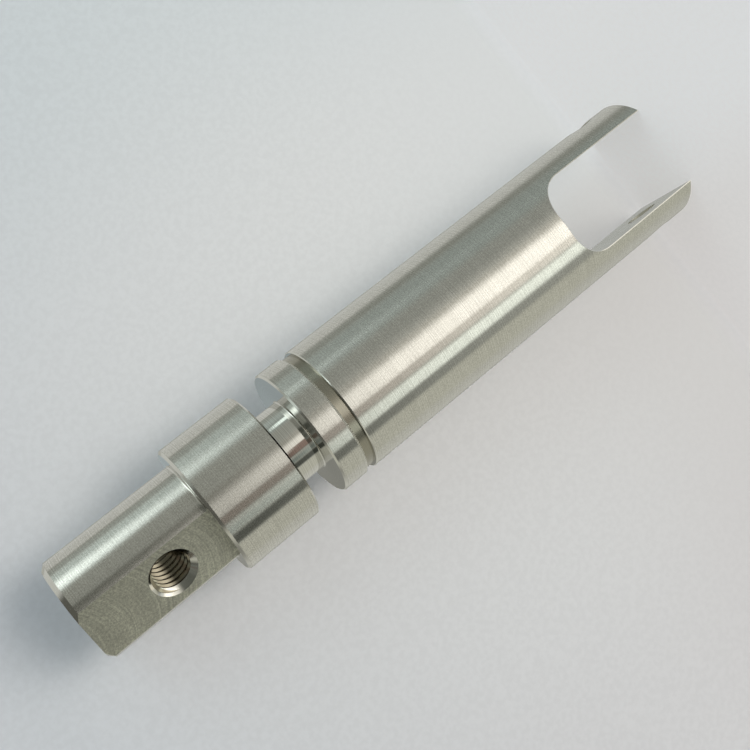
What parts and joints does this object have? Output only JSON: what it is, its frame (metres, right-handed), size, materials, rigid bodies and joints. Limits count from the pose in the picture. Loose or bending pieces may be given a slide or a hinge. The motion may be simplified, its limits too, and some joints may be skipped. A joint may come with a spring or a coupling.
{
  "type": "clevis rod",
  "caption": "One-piece turned stainless rod with an open clevis fork at one end and, past a necked collar, a flatted shank with a tapped screw hole.",
  "frame": {"origin": "on the bar's axis, in the plane of the fork's two ear ends", "axes": "+Z along the bar's axis from the fork to the shank, +Y along the clevis pin hole from one ear to the other, +X out of the fork's slot, with the shank's flat 35 degrees from it towards -Y"},
  "size_m": [0.016, 0.016, 0.0853],
  "materials": {
    "stainless": "fine-turned, with a polished neck and a milled flat"
  },
  "bodies": {
    "root": {"clevis_rod": "stainless"}
  },
  "joints": []
}
